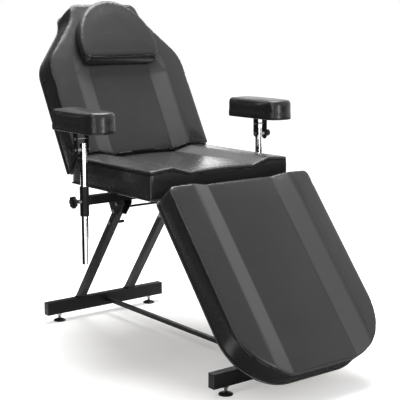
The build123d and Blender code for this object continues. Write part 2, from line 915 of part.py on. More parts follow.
def upright(low, high, diameter):
    """Round bar on the axis of the right-hand post."""
    return rod((post_x, 0, low), (post_x, 0, high), diameter)


def clamp_drill(diameter):
    """Hole for the clamp screw, from the post's axis outwards."""
    start = (post_x, 0, sleeve_middle_z)
    return rod(start, (post_x + sleeve_diameter, 0, sleeve_middle_z), diameter)


def sleeve():
    """Upright tube in which a post slides and turns."""
    shell = upright(sleeve_bottom_z, sleeve_top_z, sleeve_diameter)
    bore = upright(sleeve_bottom_z - overrun, sleeve_top_z + overrun, sleeve_diameter - 2 * sleeve_wall)
    return cut(shell, bore, clamp_drill(clamp_screw_diameter + 2 * running_gap))


def clamp_nut():
    """Nut welded on the outside of a sleeve for the clamp screw."""
    start = (post_x, 0, sleeve_middle_z)
    end = (post_x + sleeve_diameter / 2 + clamp_nut_length, 0, sleeve_middle_z)
    nut = hex_bar(start, end, clamp_nut_across)
    body = upright(sleeve_bottom_z, sleeve_top_z, sleeve_diameter)
    return cut(nut, body, clamp_drill(clamp_screw_diameter + 2 * running_gap))


def bushes():
    """Flanged plastic bushes in the two ends of a sleeve."""
    outside = sleeve_diameter - 2 * sleeve_wall - 2 * running_gap
    inside = post_diameter + 2 * running_gap
    made = []
    for edge, way in ((sleeve_bottom_z, 1), (sleeve_top_z, -1)):
        seat = edge - way * side_gap
        flange = upright(*sorted((seat - way * bush_flange, seat)), sleeve_diameter)
        barrel = upright(*sorted((seat, edge + way * bush_length)), outside)
        far = sleeve_diameter
        bore = upright(sleeve_bottom_z - far, sleeve_top_z + far, inside)
        made.append(cut(join(flange, barrel), bore))
    return made


def post():
    """Hollow post, closed at both ends, with a cross hole for the tilt bolt."""
    shell = upright(post_bottom_z, post_top_z, post_diameter)
    inner = post_diameter - 2 * post_wall
    hollow = upright(post_bottom_z + post_wall, post_top_z - post_wall, inner)
    drill = tilt_bolt_diameter + 2 * running_gap
    start = (post_x - post_diameter, 0, tilt_bolt_z)
    return cut(shell, hollow, rod(start, (post_x + post_diameter, 0, tilt_bolt_z), drill))


def holder_reaches():
    """Places across X, from the post's axis, of the four faces of a holder's cheeks."""
    inner_face = post_diameter / 2 + side_gap
    outer = holder_reach
    return -inner_face - holder_sheet, -inner_face, outer - holder_sheet, outer


def holder():
    """Folded strap that straddles a post and carries the pad."""
    back, inner, face, outer = [post_x + reach for reach in holder_reaches()]
    width = around(0, holder_width)
    web_low = pad_underside_z - holder_sheet
    half = holder_width / 2
    pieces = [block((back, outer), width, (web_low, pad_underside_z))]
    inner_low = tilt_bolt_z - holder_inner_drop
    outer_low = tilt_bolt_z - holder_outer_drop
    for x, low in (((back, inner), inner_low), ((face, outer), outer_low)):
        pieces.append(block(x, width, (low + half, pad_underside_z)))
        pieces.append(hinge_disc(0, low + half, x, holder_width))
    reach = (back - overrun, outer + overrun)
    drills = [
        hinge_disc(0, tilt_bolt_z, reach, tilt_bolt_diameter + 2 * slip_gap),
        hinge_disc(0, pinch_bolt_z, reach, pinch_bolt_diameter + 2 * slip_gap),
    ]
    for x in pad_screw_places():
        drills.append(screw_hole(x, 0, web_low, holder_sheet + overrun))
    return cut(join(*pieces), *drills)


def pad_screw_places():
    """Places across X of the two screws that hold a pad to its holder."""
    back, inner, face, outer = holder_reaches()
    return post_x + inner + pad_screw_inset, post_x + face - pad_screw_inset


def cross_bolt(z, diameter, across, head, tip):
    """Bolt along X through a holder, with the head on the side towards the seat."""
    back = post_x + holder_reaches()[0]
    cap = hex_bar((back - head, 0, z), (back, 0, z), across)
    return join(cap, rod((back, 0, z), (tip, 0, z), diameter))


def outer_nut(z, diameter, across, height):
    """Nut against the outer cheek of a holder."""
    start = post_x + holder_reach
    nut = hex_bar((start, 0, z), (start + height, 0, z), across)
    reach = (start - overrun, start + height + overrun)
    return cut(nut, hinge_disc(0, z, reach, diameter + 2 * running_gap))


def holder_bolts():
    """Tilt bolt and pinch bolt with their nuts, and the spacer beside the post."""
    outer = post_x + holder_reach
    tilt_tip = outer + tilt_nut_height + tilt_knob_thickness - tilt_knob_skin
    pinch_tip = outer + pinch_head_height + side_gap
    back, inner, face, far = [post_x + reach for reach in holder_reaches()]
    spacer_x = (post_x + post_diameter / 2 + side_gap, face)
    spacer = hinge_disc(0, tilt_bolt_z, spacer_x, spacer_diameter)
    bore = hinge_disc(0, tilt_bolt_z, (back, far), tilt_bolt_diameter + 2 * running_gap)
    return [
        cross_bolt(tilt_bolt_z, tilt_bolt_diameter, tilt_head_across, tilt_head_height, tilt_tip),
        cross_bolt(pinch_bolt_z, pinch_bolt_diameter, pinch_head_across, pinch_head_height, pinch_tip),
        outer_nut(tilt_bolt_z, tilt_bolt_diameter, tilt_head_across, tilt_nut_height),
        outer_nut(pinch_bolt_z, pinch_bolt_diameter, pinch_head_across, pinch_head_height),
        cut(spacer, bore),
    ]


def lobed_knob(x, z, diameter, thickness):
    """Knob with rounded lobes and a domed outer face, on an axis along X."""
    lobe = diameter * knob_lobe_share
    ring = diameter / 2 - lobe
    body = hinge_disc(0, z, (x, x + thickness), diameter - lobe)
    for number in range(knob_lobes):
        turn = 2 * math.pi * number / knob_lobes
        y = ring * math.cos(turn)
        body = body + hinge_disc(y, z + ring * math.sin(turn), (x, x + thickness), lobe * 2)
    radius = diameter / knob_dome_share
    ball = Solid.make_sphere(radius, Plane(origin=(x + thickness - radius, 0, z)), -90, 90, 360)
    return (body.solid() & ball).solid()


def clamp_knob():
    """Knob and screw that clamp a post in its sleeve."""
    start = post_x + sleeve_diameter / 2 + clamp_nut_length + clamp_knob_gap
    knob = lobed_knob(start, sleeve_middle_z, clamp_knob_diameter, clamp_knob_thickness)
    tip = post_x + post_diameter / 2 + side_gap
    shank = rod((tip, 0, sleeve_middle_z), (start, 0, sleeve_middle_z), clamp_screw_diameter)
    return join(knob, shank)


def tilt_knob():
    """Knob on the end of a tilt bolt."""
    start = post_x + holder_reach + tilt_nut_height + side_gap
    knob = lobed_knob(start, tilt_bolt_z, tilt_knob_diameter, tilt_knob_thickness)
    end = start + tilt_knob_thickness - tilt_knob_skin
    reach = (start - overrun, end)
    return cut(knob, hinge_disc(0, tilt_bolt_z, reach, tilt_bolt_diameter + 2 * running_gap))


def pad_wire(inset, z):
    """Outline of an armrest pad at one height, from its straight rear end forwards."""
    shoulder = pad_ahead + pad_behind
    outline = arched_outline(pad_half_width, 0, shoulder, pad_arch, pad_corner_radius)
    return outline_wire(*outline, inset, z)


def place_pad(shape):
    """Turn a pad so that its arched end points to the foot end, over the right-hand post."""
    home = Location((post_x, pad_behind, pad_underside_z))
    return shape.mirror(Plane.XZ).moved(home)


def pad_board():
    """Plywood board in the underside of a pad."""
    face = Face(pad_wire(pad_board_inset, 0))
    return place_pad(extrude(face, amount=pad_board_thickness).solid())


def pad_cushion():
    """Padded armrest with soft upper edges."""
    wires = [pad_wire(pad_edge * inset, pad_thickness * height) for height, inset in pad_profile_shares]
    return cut(place_pad(Solid.make_loft(wires)), pad_board())


def pad_screws():
    """Short screws up through a holder into the pad's board."""
    low = pad_underside_z - holder_sheet
    return [screw(x, 0, low, holder_sheet + screw_bite) for x in pad_screw_places()]


def drill_for(shape, screws):
    """Shape with a hole for each screw that enters it."""
    return cut(shape, *screws)


def base_parts():
    """Foot bars, legs, brackets and what fastens them."""
    bars = (front_bar_y, rear_bar_y)
    feet_x = around(0, foot_spread)
    bolts, nuts, caps = leg_fasteners()
    made = {
        "front_foot_bar": [foot_bar(front_bar_y)],
        "rear_foot_bar": [foot_bar(rear_bar_y)],
        "foot_bar_end_caps": bar_caps(front_bar_y) + bar_caps(rear_bar_y),
        "foot_lock_nuts": [lock_nut(x, y) for x in feet_x for y in bars],
        "floor_tie_tube": [floor_tie()],
        "front_legs": pair(leg(-1)),
        "rear_legs": pair(leg(1)),
        "leg_liners": pair(leg_liner(-1)) + pair(leg_liner(1)),
        "leg_brackets": pair(leg_bracket(-1)) + pair(leg_bracket(1)),
        "leg_bolts": bolts,
        "leg_nuts": nuts,
        "leg_bolt_caps": caps,
        "bracket_tie_rods": [tie_rod(-1), tie_rod(1)],
    }
    for y, end in ((front_bar_y, "front"), (rear_bar_y, "rear")):
        for x, side in zip(feet_x, ("right", "left")):
            made[f"levelling_foot_{end}_{side}"] = [levelling_foot(x, y)]
    return made


def seat_parts():
    """Seat frame, seat and the fixed halves of the hinges."""
    half_bar = arm_bar_side / 2
    runs = ((-1, (front_rail_y[1], -half_bar)), (1, (half_bar, rear_rail_y[0])))
    base, top = seat_pieces()
    screws = []
    for end, run in runs:
        screws += pair(screw(leg_x, seat_screw_y(end), rail_low_z, rail_height + screw_bite))
    hinges = ((leg_pin_y, front_rail_y), (back_pin_y, rear_rail_y))
    return {
        "seat_cross_rails": [cross_rail(front_rail_y), cross_rail(rear_rail_y)],
        "seat_rails": [rail for end, run in runs for rail in pair(seat_rail(run, end))],
        "seat_board": [drill_for(base, screws)],
        "seat_cushion": [top],
        "seat_screws": screws,
        "hinge_fixed_arms": [arm for pin, rail in hinges for arm in pair(fixed_arm(pin, rail))],
        "hinge_wheels": [wheel for pin, rail in hinges for wheel in pair(toothed_wheel(pin))],
        "hinge_pins": [pin for y, rail in hinges for pin in pair(hinge_pin(y))],
    }


def section_parts(name, pieces, start, length, place):
    """Frame, board, cushion, hinge arms and fasteners of the backrest or the leg rest."""
    base, top = pieces
    bolts = [bolt for y in arm_bolt_places() for bolt in pair(arm_bolt(y))]
    screws = section_screws(start, length)
    bars = [section_cross_bar(start + length * share) for share in section_cross_bar_shares]
    flat = {
        f"{name}_rails": pair(section_rail_tube(start, length)),
        f"{name}_cross_bars": bars,
        f"{name}_board": [drill_for(base, screws)],
        f"{name}_cushion": [top],
        f"{name}_hinge_arms": pair(moving_arm()),
        f"{name}_hinge_pawls": pair(pawl()),
        f"{name}_fasteners": bolts + screws,
    }
    return {node: [place(shape) for shape in shapes] for node, shapes in flat.items()}


def pillow_parts():
    """Head pillow and the strips that hold it on the backrest."""
    return {
        "head_pillow": [place_back(head_pillow())],
        "pillow_strips": [place_back(strip) for strip in pillow_strips()],
    }


def armrest_parts():
    """Everything on the two posts, with one node for each piece on each side."""
    screws = pad_screws()
    right = {
        "sleeve_bushes": bushes(),
        "post": [post()],
        "pad_holder": [holder()],
        "holder_fasteners": holder_bolts() + screws,
        "arm_pad_board": [drill_for(pad_board(), screws)],
        "arm_pad": [pad_cushion()],
        "tilt_knob": [tilt_knob()],
        "clamp_knob": [clamp_knob()],
    }
    made = {
        "armrest_bar": [arm_bar()],
        "post_sleeves": pair(sleeve()),
        "clamp_nuts": pair(clamp_nut()),
    }
    for node, shapes in right.items():
        made[f"left_{node}"] = shapes
        made[f"right_{node}"] = [shape.mirror(Plane.YZ) for shape in shapes]
    return made


def whole_chair():
    """All parts by name, each a list of solids."""
    parts = base_parts()
    parts.update(seat_parts())
    backrest = (back_pieces(), back_rail_start, back_rail_length, place_back)
    leg_rest = (leg_rest_pieces(), leg_rail_start, leg_rail_length, place_leg)
    parts.update(section_parts("backrest", *backrest))
    parts.update(section_parts("leg_rest", *leg_rest))
    parts.update(pillow_parts())
    parts.update(armrest_parts())
    return parts


def middle_shift(parts):
    """Move that brings the middle of the chair's footprint over the origin."""
    box = Compound([solid for solids in parts.values() for solid in solids]).bounding_box()
    middle = (box.min + box.max) / 2
    return Vector(-middle.X, -middle.Y, -box.min.Z)


parts = whole_chair()
shift = middle_shift(parts)
os.makedirs("parts", exist_ok=True)
for node, solids in parts.items():
    moved = [solid.moved(Location(shift)) for solid in solids]
    shape = moved[0] if len(moved) == 1 else Compound(moved)
    export_step(shape, f"parts/{node}.step")
print(f"{len(parts)} parts, moved by {shift}")
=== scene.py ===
# %% [markdown]
# # A folding treatment chair in black vinyl
#
# The chair is a steel base on two foot bars, with a seat, a hinged backrest with a
# half moon pillow, a hinged leg rest and two arm pads on chrome posts. The steel parts
# come finished from the CAD model. What Blender adds here is the upholstery, which is
# soft, the sewing, the small fittings, and a true finish for every surface.

# %% Load the CAD model as a fixed frame
import json
import math

import bpy
import numpy as np
from mathutils import Matrix, Vector
from mathutils.kdtree import KDTree

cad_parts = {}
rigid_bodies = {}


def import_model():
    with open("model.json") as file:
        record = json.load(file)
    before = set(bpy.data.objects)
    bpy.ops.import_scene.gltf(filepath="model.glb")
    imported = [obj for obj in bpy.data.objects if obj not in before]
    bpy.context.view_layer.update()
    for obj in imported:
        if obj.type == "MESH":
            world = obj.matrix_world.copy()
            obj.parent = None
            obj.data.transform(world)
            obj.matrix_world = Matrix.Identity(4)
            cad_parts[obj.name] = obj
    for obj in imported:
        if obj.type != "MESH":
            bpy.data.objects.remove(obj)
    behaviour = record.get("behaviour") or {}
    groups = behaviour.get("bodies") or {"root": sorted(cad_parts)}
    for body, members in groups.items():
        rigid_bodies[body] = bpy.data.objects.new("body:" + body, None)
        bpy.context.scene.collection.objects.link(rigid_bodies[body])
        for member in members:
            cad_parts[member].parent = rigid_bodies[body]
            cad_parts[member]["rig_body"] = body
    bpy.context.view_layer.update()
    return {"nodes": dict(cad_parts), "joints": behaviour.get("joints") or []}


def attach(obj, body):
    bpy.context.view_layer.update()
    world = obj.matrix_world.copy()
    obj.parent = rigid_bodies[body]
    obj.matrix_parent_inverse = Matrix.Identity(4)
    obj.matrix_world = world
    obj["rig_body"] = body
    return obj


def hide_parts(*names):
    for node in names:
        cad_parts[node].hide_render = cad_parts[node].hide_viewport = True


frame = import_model()

# %% [markdown]
# ## The camera
#
# A product photograph of a chair is taken with a long lens from a few metres away, so
# that the legs hardly converge. The camera here stands where the photographer stood.
# Its direction is built from three axes, which is more exact than turning it by eye.

# %% Camera
azimuth, elevation, roll = (math.radians(a) for a in (-37.41, 9.91, -0.20))
behind = Vector((
    math.sin(azimuth) * math.cos(elevation),
    -math.cos(azimuth) * math.cos(elevation),
    math.sin(elevation),
))
level_right = Vector((math.cos(azimuth), math.sin(azimuth), 0))
level_up = behind.cross(level_right)
right = level_right * math.cos(roll) + level_up * math.sin(roll)
up = level_up * math.cos(roll) - level_right * math.sin(roll)
bpy.ops.object.camera_add()
camera = bpy.context.object
camera.name = "long_lens"
camera.matrix_world = Matrix((right, up, behind)).transposed().to_4x4()
camera.location = (-2.2474, -2.96147, 1.2044)
camera.data.lens = 94.70
camera.data.shift_x, camera.data.shift_y = 0.00325, -0.0031
bpy.context.scene.camera = camera
bpy.context.scene.view_settings.view_transform = "Standard"
print("camera looks along", -behind)

# %% [markdown]
# ## Floor and room
#
# The chair stands on white paper in a white room. The floor is an ordinary matt white
# that takes a soft shadow. A little glow is added to it only for rays that come from
# the camera, from a reflection or through glass, so that the paper reads as pure white
# and no more light falls on the chair. Away from the chair the lamps grow weaker, so the
# glow grows with the distance and the floor runs into the background without a line.

# %% Helpers for node materials
def add_node(material, kind, x=0, y=0, **settings):
    """Adds a shader node and sets its inputs and options by name."""
    node = material.node_tree.nodes.new("ShaderNode" + kind)
    node.location = (x, y)
    for key, value in settings.items():
        if key.replace("_", " ").title() in node.inputs.keys():
            node.inputs[key.replace("_", " ").title()].default_value = value
        else:
            setattr(node, key, value)
    return node


def wire(material, start, end):
    """Links an output to an input."""
    material.node_tree.links.new(start, end)


def seen_directly(material):
    """One for rays from the camera, a reflection or glass, else zero."""
    path = add_node(material, "LightPath", -900, 300)
    first = add_node(material, "Math", -700, 300, operation="MAXIMUM")
    second = add_node(material, "Math", -500, 300, operation="MAXIMUM")
    wire(material, path.outputs["Is Camera Ray"], first.inputs[0])
    wire(material, path.outputs["Is Glossy Ray"], first.inputs[1])
    wire(material, first.outputs[0], second.inputs[0])
    wire(material, path.outputs["Is Transmission Ray"], second.inputs[1])
    return second.outputs[0]


# %% White paper and white room
glow_start, glow_end = 0.15, 1.2
glow_near, glow_far = 0.19, 0.75
room_on_surfaces, room_seen = 0.40, 1.0
paper = bpy.data.materials.new("white_paper")
paper.use_nodes = True
shader = paper.node_tree.nodes["Principled BSDF"]
shader.inputs["Base Color"].default_value = (0.8, 0.8, 0.8, 1)
shader.inputs["Roughness"].default_value = 0.9
shader.inputs["Specular IOR Level"].default_value = 0.1
shader.inputs["Emission Color"].default_value = (1, 1, 1, 1)
spot = add_node(paper, "TexCoord", -1100, 0)
way = add_node(paper, "VectorMath", -900, 0, operation="LENGTH")
rise = add_node(
    paper, "MapRange", -600, 0, interpolation_type="SMOOTHSTEP",
    from_min=glow_start, from_max=glow_end, to_min=glow_near, to_max=glow_far,
)
glow = add_node(paper, "Math", -300, 300, operation="MULTIPLY")
wire(paper, spot.outputs["Object"], way.inputs[0])
wire(paper, way.outputs["Value"], rise.inputs["Value"])
wire(paper, seen_directly(paper), glow.inputs[0])
wire(paper, rise.outputs["Result"], glow.inputs[1])
wire(paper, glow.outputs["Value"], shader.inputs["Emission Strength"])
bpy.ops.mesh.primitive_plane_add(size=60, location=(0, 0, 0))
floor = bpy.context.object
floor.name = "paper_floor"
floor.data.materials.append(paper)

room = bpy.data.worlds.new("white_room")
room.use_nodes = True
bpy.context.scene.world = room
background = room.node_tree.nodes["Background"]
background.inputs["Color"].default_value = (1, 1, 1, 1)
room_light = add_node(room, "MapRange", -300, 0, to_min=room_on_surfaces, to_max=room_seen)
wire(room, seen_directly(room), room_light.inputs["Value"])
wire(room, room_light.outputs["Result"], background.inputs["Strength"])
print("floor and room are white")

# %% [markdown]
# ## Lamps
#
# Black vinyl shows its shape through what it reflects, so each lamp is a soft box placed
# where one kind of surface mirrors it. The key hangs high above the chair and gives the
# soft shadow on the paper. The seat box stands low at the back, where the flat seat
# mirrors it. The narrow ones draw a line of light along the upper edges, a streak on the
# round fronts of the arm pads, and a streak on the upright corner of the seat.

# %% Soft boxes
def soft_box(name, place, aim, width, height, brightness):
    """A rectangular lamp of a given brightness, turned towards a point."""
    bpy.ops.object.light_add(type="AREA", location=place)
    lamp = bpy.context.object
    lamp.name = name
    lamp.data.shape = "RECTANGLE"
    lamp.data.size = width
    lamp.data.size_y = height
    lamp.data.energy = brightness * math.pi * width * height
    lamp.rotation_euler = (Vector(aim) - Vector(place)).to_track_quat("-Z", "Y").to_euler()
    lamp.visible_camera = False
    print(name, "energy", round(lamp.data.energy, 1))
    return lamp


middle, pad_middle, corner_middle = (0.0, 0.0, 0.6), (0, 0, 0.85), (0, 0, 0.8)
for name, place, aim, width, height, brightness in (
    ("key_box", (0.5, 0.5, 3.4), middle, 2.0, 2.0, 13.0),
    ("seat_box", (1.88, 2.6, 1.25), middle, 0.55, 0.45, 3.0),
    ("edge_strip", (-2.3, -0.8, 2.7), middle, 0.4, 2.2, 9.0),
    ("pad_strip", (0.1, -2.4, 0.45), pad_middle, 0.25, 1.2, 17.0),
    ("corner_strip", (-2.6, -2.0, 0.8), corner_middle, 0.2, 1.4, 8.0),
):
    soft_box(name, place, aim, width, height, brightness)

# %% [markdown]
# ## Black cards
#
# In a white room the sides of a black chair turn grey, because they mirror the room, and
# chrome loses its dark lines. Photographers put black cards just outside the picture.
# Here some stand and some lie on the floor. They are seen only in reflections, so they
# take no light from the chair and leave no shadow on the paper.

# %% Black cards
card_black = bpy.data.materials.new("card_black")
card_black.use_nodes = True
shader = card_black.node_tree.nodes["Principled BSDF"]
shader.inputs["Base Color"].default_value = (0.01, 0.01, 0.01, 1)
shader.inputs["Specular IOR Level"].default_value = 0.0


def black_card(name, place, turn, width, height):
    """A dark card that only shows in reflections. Its turns are in degrees."""
    bpy.ops.mesh.primitive_plane_add(size=1, location=place)
    card = bpy.context.object
    card.name = name
    card.scale = (width, height, 1)
    card.rotation_euler = [math.radians(angle) for angle in turn]
    card.data.materials.append(card_black)
    card.visible_camera = card.visible_diffuse = False
    card.visible_shadow = card.visible_transmission = False
    print(name, "stands at", place)


card_lift = 0.003
for name, place, turn, width, height in (
    ("left_card", (-1.05, 1.0, 0.85), (90, 0, 90), 2.6, 1.9),
    ("left_floor_card", (-0.7, 0.9, card_lift), (0, 0, 0), 0.6, 2.4),
    ("right_card", (1.9, -2.6, 0.3), (90, 0, 36), 1.6, 1.1),
    ("front_floor_card", (-0.05, -0.56, card_lift), (0, 0, 0), 1.3, 0.3),
    ("back_card", (0.1, 2.5, 1.2), (90, 0, 0), 3.0, 1.8),
    ("post_card", (-1.0, -1.35, 0.45), (90, 0, -22), 0.25, 1.6),
    ("chrome_floor_card", (1.3, -2.2, card_lift), (0, 0, 0), 2.2, 1.8),
    ("low_right_card", (1.6, -0.5, 0.28), (90, 0, 90), 2.6, 0.54),
    ("pad_card", (-1.8, 0.05, 0.5), (90, 0, 90), 0.35, 1.6),
):
    black_card(name, place, turn, width, height)

# %% [markdown]
# ## Finishes
#
# Each finish is built from procedural nodes on Object coordinates, in metres. The grain
# of the vinyl is a fine cell pattern, its colour wanders a little, and on the ramps
# beside the sunken panel it is paler and duller. The steel has the orange peel of
# powder coating, and the chrome faint marks along the tube.

# %% A base for all finishes
def plain_finish(name, colour, roughness, metallic=0.0, specular=0.5):
    """A material with a place pattern node, ready for more detail."""
    material = bpy.data.materials.new(name)
    material.use_nodes = True
    shader = material.node_tree.nodes["Principled BSDF"]
    shader.inputs["Base Color"].default_value = (*colour, 1)
    shader.inputs["Roughness"].default_value = roughness
    shader.inputs["Metallic"].default_value = metallic
    shader.inputs["Specular IOR Level"].default_value = specular
    place = add_node(material, "TexCoord", -1300, 0)
    return material, shader, place.outputs["Object"]


def wandering_colour(material, shader, place, scale, one, other):
    """Colour that drifts between two tones over the surface."""
    cloud = add_node(material, "TexNoise", -900, 200, scale=scale, detail=4.0)
    tones = add_node(material, "ValToRGB", -600, 200)
    tones.color_ramp.elements[0].position = 0.35
    tones.color_ramp.elements[0].color = (*one, 1)
    tones.color_ramp.elements[1].position = 0.65
    tones.color_ramp.elements[1].color = (*other, 1)
    wire(material, place, cloud.inputs["Vector"])
    wire(material, cloud.outputs["Fac"], tones.inputs["Fac"])
    wire(material, tones.outputs["Color"], shader.inputs["Base Color"])
    return tones.outputs["Color"]


def wandering_gloss(material, shader, place, scale, low, high):
    """Roughness that drifts between two values."""
    cloud = add_node(material, "TexNoise", -900, -100, scale=scale, detail=3.0)
    gloss = add_node(
        material, "MapRange", -600, -100, from_min=0.3, from_max=0.7, to_min=low, to_max=high
    )
    wire(material, place, cloud.inputs["Vector"])
    wire(material, cloud.outputs["Fac"], gloss.inputs["Value"])
    wire(material, gloss.outputs["Result"], shader.inputs["Roughness"])
    return gloss.outputs["Result"]


def raised_by(material, shader, height, depth, before=None):
    """Bumps of a given depth in metres, on top of earlier bumps."""
    bump = add_node(material, "Bump", -300, -400, strength=1.0, distance=depth)
    wire(material, height, bump.inputs["Height"])
    if before is not None:
        wire(material, before, bump.inputs["Normal"])
    wire(material, bump.outputs["Normal"], shader.inputs["Normal"])
    return bump.outputs["Normal"]


# %% Black vinyl
def vinyl_finish(name, low, high, rough_low, rough_high):
    """Grained vinyl. A point attribute makes it paler and duller where it is set."""
    material, shader, place = plain_finish(name, low, rough_low, specular=0.4)
    colour = wandering_colour(material, shader, place, 5.0, low, high)
    gloss = wandering_gloss(material, shader, place, 14.0, rough_low, rough_high)
    stretch = add_node(material, "Attribute", -900, 500, attribute_name="stretch")
    paler = add_node(material, "Mix", -300, 300, data_type="RGBA")
    paler.inputs["B"].default_value = (0.040, 0.040, 0.041, 1)
    wire(material, stretch.outputs["Fac"], paler.inputs["Factor"])
    wire(material, colour, paler.inputs["A"])
    wire(material, paler.outputs["Result"], shader.inputs["Base Color"])
    duller = add_node(material, "Mix", -300, 0, data_type="FLOAT")
    duller.inputs["B"].default_value = rough_high + 0.08
    wire(material, stretch.outputs["Fac"], duller.inputs["Factor"])
    wire(material, gloss, duller.inputs["A"])
    wire(material, duller.outputs["Result"], shader.inputs["Roughness"])
    cells = add_node(material, "TexVoronoi", -900, -400, feature="DISTANCE_TO_EDGE", scale=480.0)
    pores = add_node(material, "TexNoise", -900, -700, scale=1500.0, detail=2.0)
    wire(material, place, cells.inputs["Vector"])
    wire(material, place, pores.inputs["Vector"])
    fine = raised_by(material, shader, pores.outputs["Fac"], 0.00002)
    raised_by(material, shader, cells.outputs["Distance"], 0.00012, before=fine)
    shader.inputs["Sheen Weight"].default_value = 0.04
    shader.inputs["Sheen Roughness"].default_value = 0.5
    return material


vinyl = vinyl_finish("black_vinyl", (0.011, 0.011, 0.0115), (0.015, 0.015, 0.0155), 0.24, 0.28)
roll_vinyl = vinyl_finish("roll_vinyl", (0.012, 0.012, 0.0125), (0.016, 0.016, 0.0165), 0.22, 0.28)
# Painted shade: the seam finish is darker, duller and reflects little. It goes on the band of each
# seam groove and on the cords in the grooves of the large cushions, and paints shade into the
# groove.
seam_vinyl = vinyl_finish("seam_vinyl", (0.004, 0.004, 0.0042), (0.006, 0.006, 0.0062), 0.55, 0.65)
seam_shade_shader = seam_vinyl.node_tree.nodes["Principled BSDF"]
seam_shade_shader.inputs["Specular IOR Level"].default_value = 0.12

# %% Powder coat, chrome, zinc
coat, shader, place = plain_finish("powder_coat", (0.008, 0.008, 0.009), 0.4, specular=0.22)
wandering_colour(coat, shader, place, 9.0, (0.0055, 0.0055, 0.006), (0.0085, 0.0085, 0.009))
wandering_gloss(coat, shader, place, 30.0, 0.36, 0.5)
peel = add_node(coat, "TexNoise", -900, -400, scale=700.0, detail=2.0)
wire(coat, place, peel.inputs["Vector"])
raised_by(coat, shader, peel.outputs["Fac"], 0.00012)

chrome, shader, place = plain_finish("chrome", (0.78, 0.79, 0.8), 0.08, metallic=1.0)
wandering_colour(chrome, shader, place, 12.0, (0.74, 0.75, 0.76), (0.82, 0.83, 0.84))
along = add_node(chrome, "Mapping", -1100, -200)
along.inputs["Scale"].default_value = (1.0, 1.0, 0.02)
marks = add_node(chrome, "TexNoise", -900, -300, scale=900.0, detail=2.0)
wire(chrome, place, along.inputs["Vector"])
wire(chrome, along.outputs["Vector"], marks.inputs["Vector"])
wandering_gloss(chrome, shader, place, 60.0, 0.05, 0.12)
raised_by(chrome, shader, marks.outputs["Fac"], 0.00001)

zinc, shader, place = plain_finish("zinc", (0.5, 0.51, 0.52), 0.32, metallic=1.0)
wandering_colour(zinc, shader, place, 160.0, (0.46, 0.47, 0.48), (0.62, 0.62, 0.61))
wandering_gloss(zinc, shader, place, 240.0, 0.24, 0.42)
frost = add_node(zinc, "TexVoronoi", -900, -400, scale=700.0)
wire(zinc, place, frost.inputs["Vector"])
raised_by(zinc, shader, frost.outputs["Distance"], 0.00004)

# %% Moulded plastic, hook and loop strip, plywood
plastic, shader, place = plain_finish("moulded_plastic", (0.010, 0.010, 0.011), 0.45, specular=0.3)
wandering_colour(plastic, shader, place, 40.0, (0.006, 0.006, 0.007), (0.011, 0.011, 0.012))
wandering_gloss(plastic, shader, place, 90.0, 0.34, 0.5)
spark = add_node(plastic, "TexNoise", -900, -400, scale=2200.0, detail=1.0)
wire(plastic, place, spark.inputs["Vector"])
raised_by(plastic, shader, spark.outputs["Fac"], 0.00005)

strip_cloth, shader, place = plain_finish("hook_and_loop", (0.02, 0.02, 0.02), 0.95)
wandering_colour(strip_cloth, shader, place, 70.0, (0.012, 0.012, 0.012), (0.028, 0.028, 0.028))
loops = add_node(strip_cloth, "TexVoronoi", -900, -400, scale=900.0)
wire(strip_cloth, place, loops.inputs["Vector"])
raised_by(strip_cloth, shader, loops.outputs["Distance"], 0.0008)
shader.inputs["Sheen Weight"].default_value = 0.3


def plywood_finish(name, lean):
    """Birch plywood. Lean is the angle of the board in degrees, so that the plies run true."""
    material, shader, place = plain_finish(name, (0.45, 0.33, 0.2), 0.7)
    flat = add_node(material, "Mapping", -1150, 100)
    flat.inputs["Rotation"].default_value = (math.radians(lean), 0, 0)
    wire(material, place, flat.inputs["Vector"])
    grain_place = add_node(material, "Mapping", -1000, 100)
    grain_place.inputs["Scale"].default_value = (60.0, 4.0, 1400.0)
    wire(material, flat.outputs["Vector"], grain_place.inputs["Vector"])
    grain = grain_place.outputs["Vector"]
    wandering_colour(material, shader, grain, 1.0, (0.30, 0.20, 0.11), (0.50, 0.37, 0.23))
    fibres = add_node(material, "TexNoise", -900, -400, scale=2.0, detail=4.0)
    wire(material, grain, fibres.inputs["Vector"])
    raised_by(material, shader, fibres.outputs["Fac"], 0.0002)
    wandering_gloss(material, shader, grain, 1.0, 0.6, 0.8)
    return material


plywood = plywood_finish("plywood", 0)
finishes = {
    "powder_coat": coat,
    "chrome": chrome,
    "zinc": zinc,
    "black_vinyl": vinyl,
    "black_fabric": strip_cloth,
    "black_plastic": plastic,
    "plywood": plywood,
}
for node in frame["nodes"].values():
    for i, old in enumerate(node.data.materials):
        node.data.materials[i] = finishes[old.name]
for joint in frame["joints"]:
    if joint["name"] in ("backrest_tilt", "leg_rest_tilt"):
        body = joint["name"].replace("_tilt", "")
        leaning = plywood_finish(body + "_plywood", joint["range_deg"][1] * joint["axis"][0])
        frame["nodes"][body + "_board"].data.materials[0] = leaning
print("finishes:", len(finishes))

# %% [markdown]
# ## Upholstery
#
# A cushion of the real chair is a plywood board, a block of foam and a vinyl cover that
# is pulled tight and stapled underneath. The foam pushes back, so the cover swells a
# little between its edges. Here each cushion starts as a merged copy of its CAD solid.
# A cushion that leans is first laid flat about its hinge, which makes all its edges
# easy to find. Then it becomes an even grid of quads, and Blender's cloth solver blows
# it up gently while the rim that is stapled to the board is held.

# %% Small tools for meshes
def only(piece):
    """Selects one piece and nothing else."""
    bpy.ops.object.select_all(action="DESELECT")
    piece.select_set(True)
    bpy.context.view_layer.objects.active = piece


def points(piece):
    """The places of all vertices as an array."""
    co = np.zeros(len(piece.data.vertices) * 3, np.float32)
    piece.data.vertices.foreach_get("co", co)
    return co.reshape(-1, 3)


def put(piece, co):
    """Writes the places of all vertices."""
    piece.data.vertices.foreach_set("co", np.asarray(co, np.float32).ravel())
    piece.data.update()


